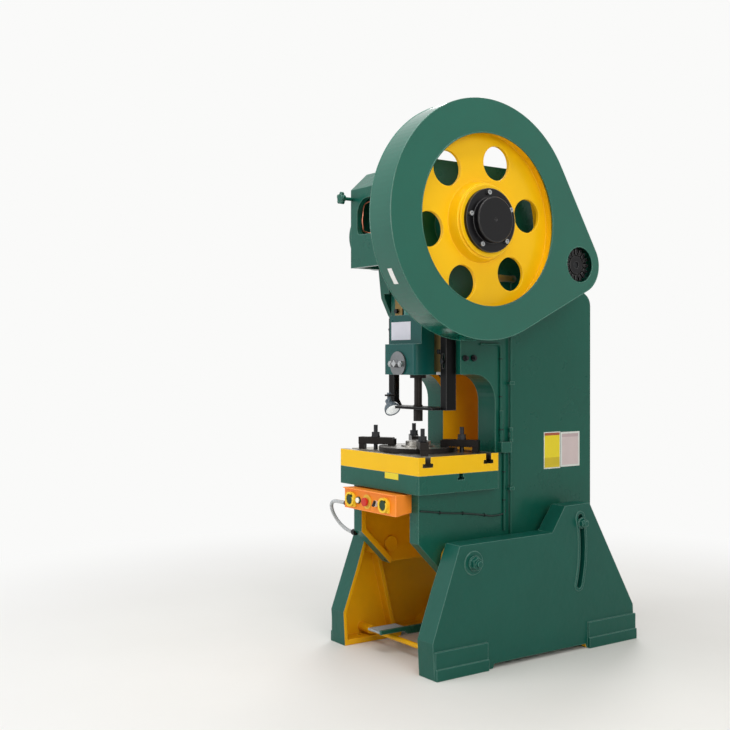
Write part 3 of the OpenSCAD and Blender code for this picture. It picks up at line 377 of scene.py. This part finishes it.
# Crank train, flywheel and guard
# Cast flywheel in yellow enamel behind a welded sheet guard; the clutch
# cover on the hub is gloss black.
wheel_yellow = enamel("yellow_enamel_on_flywheel", "FFC80E", 0.34, 0.9, 0.2, 0.3, edge_highlight=0.25)
guard_green = enamel("green_gloss_on_sheet", "03604E", 0.16, 0.78, 0.1, 0.25,
                     sheen=0.26, varnish=0.4)
hub_black = enamel("black_gloss_on_cover", "0E0D10", 0.3, 0.85, 0.1, 0.3, "55555A")
grey_paint = enamel("grey_enamel_on_aluminium", "8E979B", 0.42, 0.86, 0.25, 0.35)
dark_iron = turned_steel("dark_cast_iron", "45474A", 0.5, 1.5, 0.35)
bronze = turned_steel("oiled_bronze", "A9772F", 0.38, 0.8, 0.35)
dress("flywheel", wheel_yellow)
dress("belt_guard", guard_green)
for name in ("hub_cover", "motor_pulley"):
    dress(name, hub_black)
for name in ("motor_body", "terminal_box", "fan_cowl"):
    dress(name, grey_paint)
dress("brake_drum", dark_iron)
dress("crank_bushes", bronze)


# Belts
# Wrapped rubber V-belts from the motor pulley to the flywheel; matt, with a
# little chalky dust.
def rubber(name, code, rough=0.72):
    """Rubber: matt, finely pitted."""
    mat, t = blank_material(name)
    where = wire(t, "ShaderNodeTexCoord").outputs["Object"]
    pits = wire(t, "ShaderNodeTexNoise", None,
                {"Vector": where, "Scale": per_metre(1.11)})
    dust = wire(t, "ShaderNodeTexNoise", None,
                {"Vector": where, "Scale": per_metre(33.3), "Detail": 4.0})
    base = tint(code)
    dusty = tuple(c * 1.5 + 0.004 for c in base[:3]) + (1.0,)
    tone = wire(t, "ShaderNodeMix", {"data_type": "RGBA"},
                {"Factor": dust.outputs["Fac"], 6: base, 7: dusty})
    bump = wire(t, "ShaderNodeBump", None,
                {"Height": pits.outputs["Fac"], "Strength": 0.2, "Distance": 0.0004})
    skin = wire(t, "ShaderNodeBsdfPrincipled", None,
                {"Base Color": tone.outputs[2], "Roughness": rough,
                 "Normal": bump.outputs[0]})
    wire(t, "ShaderNodeOutputMaterial", None, {"Surface": skin.outputs[0]})
    return mat


belt_rubber = rubber("wrapped_belt_rubber", "1E1E1F")
dress("belts", belt_rubber)


# Connecting rod, slide and stripper
# Cast rod and cap in tan primer, green slide with bare ground vee ways, tan
# scraped gibs with sides painted near black as shade, black bars and the grey shade of the
# lamp.
rod_iron = enamel("tan_primer_on_cast_rod", "B08E49", 0.45, 0.85, 0.35, 0.5)
slide_green = enamel("green_enamel_on_slide", "08514D", 0.28, 0.88, 0.25, 0.5)
ring_teal = enamel("teal_enamel_on_ring", "2E8A7C", 0.3, 0.9, 0.1, 0.4)
gib_tan = turned_steel("scraped_gib_iron", "8C754A", 0.44, 1.4, 0.4)
# painted shade: the gibs' sides are near black, standing in for the shade between the slide and
# the frame
gib_side_shade = turned_steel("painted_shade_on_gib_sides", "2C2722", 0.4, 1.4, 0.3, 0.6)
way_x, slide_foot_z = 0.1121, 1.1935
for name in ("connecting_rod", "rod_cap"):
    dress(name, rod_iron)
dress("ball_cap", ring_teal)
dress("slide", slide_green, bright_steel,
      pick=lambda c, n: 1 if abs(c.x) > way_x or c.z < slide_foot_z else 0)
dress("shank_clamp", turned_steel("dull_clamp_steel", "86888A", 0.36, 0.9, 0.4))
# the front face of each gib keeps the tan; every other face takes the painted shade
dress("gibs", gib_tan, gib_side_shade, pick=lambda c, n: 0 if n.y < -0.9 else 1)
bar_black = enamel("black_enamel_on_bars", "060607", 0.34, 0.85, 0.15, 0.3, "3C3C40",
                   sheen=0.12, varnish=0.0)
for name in ("stripper_bars", "stripper_plate"):
    dress(name, bar_black)
dress("work_lamp", enamel("blue_grey_enamel_on_shade", "5E6B74", 0.22, 0.85, 0.05, 0.3))


# Console
# Folded sheet box in orange enamel under the table, with moulded buttons,
# lamp and selector.
def moulded(name, code, rough=0.35, glow=0.0):
    """Moulded plastic: even colour, faint flow marks."""
    mat, t = blank_material(name)
    where = wire(t, "ShaderNodeTexCoord").outputs["Object"]
    flow = wire(t, "ShaderNodeTexNoise", None,
                {"Vector": where, "Scale": per_metre(16.7), "Detail": 3.0})
    base = tint(code)
    tone = wire(t, "ShaderNodeMix", {"data_type": "RGBA"},
                {"Factor": flow.outputs["Fac"], 6: times(base, 0.9), 7: base})
    edge_round = wire(t, "ShaderNodeBevel", {"samples": 6}, {"Radius": 0.0018})
    skin = wire(t, "ShaderNodeBsdfPrincipled", None,
                {"Base Color": tone.outputs[2], "Roughness": rough,
                 "Specular IOR Level": 0.28, "Normal": edge_round.outputs[0]})
    if glow:
        skin.inputs["Emission Color"].default_value = base
        skin.inputs["Emission Strength"].default_value = glow
    wire(t, "ShaderNodeOutputMaterial", None, {"Surface": skin.outputs[0]})
    return mat


dress("console", enamel("orange_enamel_on_sheet", "FC902A", 0.34, 0.9, 0.1, 0.3))
dress("palm_shrouds", moulded("yellow_abs_shroud", "F9CE34", 0.3))
black_abs = moulded("black_abs_button", "1B1B1D", 0.3)
green_abs = moulded("dark_green_abs", "1A3A22", 0.3)
for name in ("palm_button_left", "palm_button_right"):
    dress(name, green_abs)
# in front of these planes lie the lamp's dome and the selector's handle
dome_y, handle_y = -0.6365, -0.6405
dress("signal_lamp", green_abs, moulded("clear_lamp_dome", "ECEBDD", 0.2, 0.15),
      pick=lambda c, n: 1 if c.y < dome_y else 0)
dress("stop_ring", moulded("yellow_ring", "F4C440", 0.35))
dress("stop_button", moulded("red_button", "D2342A", 0.3))
dress("selector", moulded("grey_selector", "DAD6CD", 0.4), black_abs,
      pick=lambda c, n: 1 if c.y < handle_y else 0)


# Pedal and trip gear
# Green lever of flat bar on a shaft between the legs, with a grooved grey
# foot plate fixed to its front end.
dress("pedal_lever", frame_green)
dress("foot_plate", grey_paint)


# Console hose
# Corrugated grey PVC hose in one bow from the end of the console to a
# gland in the left side plate: 350 mm long, 16 mm across.
def keep(mesh_name, bm, mat, body, replaces=()):
    """Turns a finished bmesh into a piece that rides on a body."""
    mesh = bpy.data.meshes.new(mesh_name)
    bm.normal_update()
    bm.to_mesh(mesh)
    bm.free()
    mesh.materials.append(mat)
    mesh.shade_smooth()
    mesh.set_sharp_from_angle(angle=math.radians(38))
    obj = bpy.data.objects.new(mesh_name, mesh)
    bpy.context.scene.collection.objects.link(obj)
    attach(obj, body)
    if replaces:
        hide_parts(*replaces)
    return obj


def smooth_path(points, step):
    """Points in metres along a Catmull-Rom curve, one every step."""
    pts = [Vector(p) for p in points]
    pts = [pts[0] * 2 - pts[1]] + pts + [pts[-1] * 2 - pts[-2]]
    fine = []
    for i in range(1, len(pts) - 2):
        a, b, c, d = pts[i - 1:i + 3]
        for k in range(24):
            u = k / 24
            fine.append(0.5 * ((2 * b) + (c - a) * u + (2 * a - 5 * b + 4 * c - d) * u * u
                               + (3 * b - a - 3 * c + d) * u ** 3))
    fine.append(pts[-2])
    out, left = [fine[0]], step
    for p, q in zip(fine, fine[1:]):
        run = (q - p).length
        while run >= left > 0:
            p = p + (q - p).normalized() * left
            out.append(p.copy())
            run = (q - p).length
            left = step
        left -= run
    if (out[-1] - fine[-1]).length > step * 0.3:
        out.append(fine[-1])
    return out


def sweep(bm, points, radius, sides=16, ripple=None):
    """A round tube along points; ripple gives the radius at each ring."""
    rings = []
    up = Vector((0, 0, 1))
    for i, p in enumerate(points):
        d = (points[min(i + 1, len(points) - 1)] - points[max(i - 1, 0)]).normalized()
        side = d.cross(up)
        if side.length < 1e-3:
            side = d.cross(Vector((0, 1, 0)))
        side.normalize()
        other = side.cross(d).normalized()
        up = other
        r = ripple(i) if ripple else radius
        rings.append([bm.verts.new(p + (side * math.cos(k * math.tau / sides)
                                        + other * math.sin(k * math.tau / sides)) * r)
                      for k in range(sides)])
    for a, b in zip(rings, rings[1:]):
        for k in range(sides):
            bm.faces.new((a[k], b[k], b[(k + 1) % sides], a[(k + 1) % sides]))
    bm.faces.new(rings[0])
    bm.faces.new(list(reversed(rings[-1])))


grey_conduit = moulded("grey_pvc_conduit", "C5C8C9", 0.45)
dress("console_hose", grey_conduit)
# the bow lies in a plane that leans forward out of the upright
exit_x, exit_y, exit_z = -0.184, -0.620, 0.640
hose_lean, bow_r, hose_r = math.radians(29.12), 0.08014, 0.008
bow_x = -0.082
ripple_radii = (hose_r, 0.0076, 0.0072)


def hose_point(x, z):
    """A point of the bow's plane, counted from where the hose leaves the console."""
    return Vector((exit_x + x, exit_y - z * math.sin(hose_lean),
                   exit_z + z * math.cos(hose_lean)))


hose_line = [hose_point(-0.012 * k, 0) for k in range(7)]
for k in range(25):
    a = math.radians(90 + 7.5 * k)
    hose_line.append(hose_point(bow_x + bow_r * math.cos(a), -bow_r + bow_r * math.sin(a)))
hose_line += [hose_point(-0.075, -2 * bow_r), hose_point(-0.066, -2 * bow_r)]
hose_fine = smooth_path(hose_line, 0.0012)
hose = bmesh.new()
sweep(hose, hose_fine, hose_r, 18, lambda i: ripple_radii[i % 3])
hose_obj = keep("console_hose_tube", hose, grey_conduit, "frame_body", ("console_hose",))

# gland in the side plate: hexagon foot, round nut with ribs to grip
gland_y, gland_z, nut_r, rib_r, rib_count = -0.542, 0.5, 0.0125, 0.0011, 16


def gland_point(x, out=0.0, turn=0.0):
    return Vector((x, gland_y + out * math.cos(turn), gland_z + out * math.sin(turn)))


gland = bmesh.new()
sweep(gland, [gland_point(-0.2302), gland_point(-0.236)], 0.0145, 6)
sweep(gland, [gland_point(-0.236), gland_point(-0.252)], nut_r, 24)
for k in range(rib_count):
    a = k * math.tau / rib_count
    sweep(gland, [gland_point(-0.238, nut_r, a), gland_point(-0.251, nut_r, a)], rib_r, 6)
sweep(gland, [Vector((-0.1838, exit_y, exit_z)), Vector((-0.194, exit_y, exit_z))], 0.0115, 24)
gland_obj = keep("hose_glands", gland, black_abs, "frame_body")


# Guard details
# The guard is rolled and welded from sheet: a bead of weld runs round its
# front and rear edges under the paint, and rolled lips stiffen the openings.
wheel_y, wheel_z, shell_r = -0.377, 1.808, 0.475
lobe_y, lobe_z, lobe_r = 0.1325, 1.656, 0.119
bead_inset = 0.0010
front_x, rear_x, lip_x = 0.4488, 0.3175, 0.4486


def circle_line(x, cy, cz, r, a0, a1, n):
    return [Vector((x, cy + r * math.cos(math.radians(a0 + (a1 - a0) * i / n)),
                    cz + r * math.sin(math.radians(a0 + (a1 - a0) * i / n))))
            for i in range(n + 1)]


def guard_line(x, inset):
    """Outline of the guard: an arc round the wheel, one round the pulley, two tangents."""
    big, small = Vector((wheel_y, wheel_z)), Vector((lobe_y, lobe_z))
    r1, r2 = shell_r - inset, lobe_r - inset
    v = small - big
    p = math.degrees(math.atan2(v.y, v.x))
    a = math.degrees(math.acos((r1 - r2) / v.length))
    line = circle_line(x, big.x, big.y, r1, p + a, p - a + 360, 160)
    line += circle_line(x, small.x, small.y, r2, p - a, p + a, 40)
    return line + [line[0]]


seam = bmesh.new()
sweep(seam, guard_line(front_x, bead_inset), 0.0022, 8)
sweep(seam, guard_line(rear_x, bead_inset), 0.0026, 8)
keep("guard_edge_bead", seam, guard_green, "frame_body")
lip = bmesh.new()
sweep(lip, circle_line(lip_x, -0.3635, wheel_z, 0.3432, 0, 360, 160), 0.0032, 10)
sweep(lip, circle_line(lip_x, 0.1365, 1.657, 0.0752, 0, 360, 72), 0.0022, 10)
keep("guard_rolled_lips", lip, guard_green, "frame_body")


# Bare plates
# Printed film plates with nothing on them but their colour fields, glued to
# the frame, the slide, the table and the guard.
def card(name, code, bands=()):
    """Printed film: a plain field, and another colour above each height in metres."""
    mat, t = blank_material(name)
    where = wire(t, "ShaderNodeTexCoord").outputs["Object"]
    parts = wire(t, "ShaderNodeSeparateXYZ", None, {"Vector": where})
    fading = wire(t, "ShaderNodeTexNoise", None,
                  {"Vector": where, "Scale": per_metre(33.3)})
    base = tint(code)
    tone = wire(t, "ShaderNodeMix", {"data_type": "RGBA"},
                {"Factor": fading.outputs["Fac"], 6: times(base, 0.92), 7: base})
    colour = tone.outputs[2]
    for height, band_code in bands:
        above = wire(t, "ShaderNodeMath", {"operation": "GREATER_THAN"},
                     {0: parts.outputs["Z"], 1: height})
        colour = wire(t, "ShaderNodeMix", {"data_type": "RGBA"},
                      {"Factor": above.outputs[0], 6: colour,
                       7: tint(band_code)}).outputs[2]
    film = wire(t, "ShaderNodeBsdfPrincipled", None,
                {"Base Color": colour, "Roughness": 0.4})
    wire(t, "ShaderNodeOutputMaterial", None, {"Surface": film.outputs[0]})
    return mat


def plate(name, low, high, mat, body, round_mm=0.4):
    """A flat block between two corners in millimetres, with its edges rounded."""
    bm = bmesh.new()
    bmesh.ops.create_cube(bm, size=1)
    lo, hi = Vector(low) / 1000, Vector(high) / 1000
    for v in bm.verts:
        v.co = Vector(((lo + hi) / 2)[i] + v.co[i] * (hi - lo)[i] for i in range(3))
    bmesh.ops.bevel(bm, geom=bm.edges[:], offset=round_mm / 1000, segments=2,
                    affect="EDGES")
    return keep(name, bm, mat, body)


# the side films stay in the 0.3 mm between the frame and the leg's bosses
backing_x, backing_top_x = 230.02, 230.12
field_x, field_top_x = 230.11, 230.24
film_round = 0.03
pale_edge = card("pale_film_edge", "DDE2DC")
plate("plate_left_edge", (backing_x, 143.5, 776), (backing_top_x, 244.5, 938), pale_edge,
      "frame_body", film_round)
plate("plate_right_edge", (backing_x, 246.5, 780), (backing_top_x, 365.5, 935), pale_edge,
      "frame_body", film_round)
plate("plate_yellow", (field_x, 148, 781), (field_top_x, 240.5, 934),
      card("yellow_film_plate", "D3BB14", [(0.8255, "EAD518"), (0.9225, "A4502E")]),
      "frame_body", film_round)
plate("plate_white", (field_x, 255, 788), (field_top_x, 357, 927),
      card("white_film_plate", "D3C3C2", [(0.912, "BDA9AA")]), "frame_body", film_round)
plate("plate_slide", (-98, -446.6, 1341), (39, -445.45, 1418),
      card("white_film_small", "DCDCE6"), "ram")
plate("plate_table", (51, -589.6, 767), (144, -588.45, 792),
      card("yellow_film_small", "E9D51C"), "frame_body")
# a white strip that follows the curve of the guard's rim, one face a degree
strip_r, strip_low_x, strip_high_x = 0.4756, 0.364, 0.391
strip_from, strip_faces = -154, 8
strip = bmesh.new()
for k in range(strip_faces + 1):
    a = math.radians(strip_from + k)
    for x in (strip_low_x, strip_high_x):
        strip.verts.new((x, wheel_y + strip_r * math.cos(a), wheel_z + strip_r * math.sin(a)))
strip.verts.ensure_lookup_table()
for k in range(strip_faces):
    strip.faces.new([strip.verts[i] for i in (2 * k, 2 * k + 1, 2 * k + 3, 2 * k + 2)])
keep("plate_guard_rim", strip, card("white_film_strip", "F4F3EF"), "frame_body")


# Lubrication line and felts
# Soft copper tube bent by hand inside the head, and black oil felts on top
# of the gibs.
copper = turned_steel("drawn_copper_tube", "DC8A70", 0.3, 2.0, 0.2)
oil_line = bmesh.new()
bend = [(-0.145, -0.505, 1.944), (-0.158, -0.520, 1.942), (-0.172, -0.535, 1.930),
        (-0.174, -0.5405, 1.908), (-0.165, -0.549, 1.88), (-0.163, -0.553, 1.858),
        (-0.165, -0.549, 1.836), (-0.172, -0.5405, 1.816), (-0.166, -0.522, 1.808),
        (-0.148, -0.500, 1.804)]
sweep(oil_line, smooth_path(bend, 0.004), 0.0035, 12)
keep("oil_line", oil_line, copper, "frame_body")
for s, name in ((-1, "felt_left"), (1, "felt_right")):
    lo_x, hi_x = sorted((s * 118, s * 160))
    plate(name, (lo_x, -375, 1560.2), (hi_x, -343, 1583), belt_rubber, "frame_body", 2)


# Side wiring
# A flexible lead clipped flat along the right side plate and painted over
# in green, with black saddles on it and on the side pipe.
lead = bmesh.new()
lead_line = [(0.2342, -0.5455, 0.647), (0.2342, -0.500, 0.641), (0.2342, -0.445, 0.633),
             (0.2342, -0.385, 0.626), (0.2342, -0.3235, 0.621), (0.2342, -0.245, 0.610),
             (0.2342, -0.1655, 0.598), (0.2342, -0.1135, 0.599), (0.2342, -0.090, 0.606),
             (0.2345, -0.0885, 0.62)]
sweep(lead, smooth_path(lead_line, 0.004), 0.0036, 12)
keep("side_lead", lead, rubber("painted_lead_sheath", "07211B", 0.5), "frame_body")
plate_x, lead_rise, lead_half = 0.2302, 0.0085, 0.0062
lead_saddles = ((-0.445, 0.633), (-0.3235, 0.621), (-0.205, 0.604))
# height, Y, X and radius of the pipe under each of its saddles
pipe_saddles = ((1.26, -0.1155, 0.236, 0.0075), (1.10, -0.1155, 0.236, 0.0075),
                (0.96, -0.1155, 0.240, 0.0105), (0.78, -0.096, 0.236, 0.0075),
                (0.66, -0.096, 0.236, 0.0075))
saddle_room, saddle_sink = 1.15, 0.003
half_turn = [math.radians(a) for a in range(0, 181, 20)]
saddles = bmesh.new()
for y, z in lead_saddles:
    ring = [Vector((plate_x + lead_rise * math.sin(a), y, z + lead_half * math.cos(a)))
            for a in half_turn]
    sweep(saddles, ring, 0.0016, 8)
for z, y, x, r in pipe_saddles:
    ring = [Vector((x - saddle_sink + r * math.sin(a) * saddle_room,
                    y + r * saddle_room * math.cos(a), z)) for a in half_turn]
    sweep(saddles, ring, 0.0018, 8)
keep("lead_saddles", saddles, black_steel, "frame_body")


# Lamp lens
# Frosted lens, softly lit from behind, in the shade of the work lamp by the
# left stripper bar.
lens_mat = moulded("warm_lamp_lens", "EEF2F2", 0.25, 0.55)
lens_r, lens_seat, lens_rise, lens_sides, lens_steps = 0.0316, 0.0015, 0.006, 32, 6
shade_turn = (Matrix.Translation((-0.136, -0.413, 1.040))
              @ Matrix.Rotation(math.radians(-9.4), 4, "Z")
              @ Matrix.Rotation(math.radians(133), 4, "Y"))
glass = bmesh.new()
rings = []
for k in range(lens_steps + 1):
    r = lens_r * math.cos(k / lens_steps * math.pi / 2)
    out = lens_seat + lens_rise * math.sin(k / lens_steps * math.pi / 2)
    rings.append([glass.verts.new(shade_turn @ Vector((r * math.cos(i * math.tau / lens_sides),
                                                       r * math.sin(i * math.tau / lens_sides),
                                                       out)))
                  for i in range(lens_sides if k < lens_steps else 1)])
for a, b in zip(rings, rings[1:]):
    for i in range(lens_sides):
        after = (i + 1) % lens_sides
        if len(b) > 1:
            glass.faces.new((a[i], a[after], b[after], b[i]))
        else:
            glass.faces.new((a[i], a[after], b[0]))
keep("lamp_lens", glass, lens_mat, "lamp")
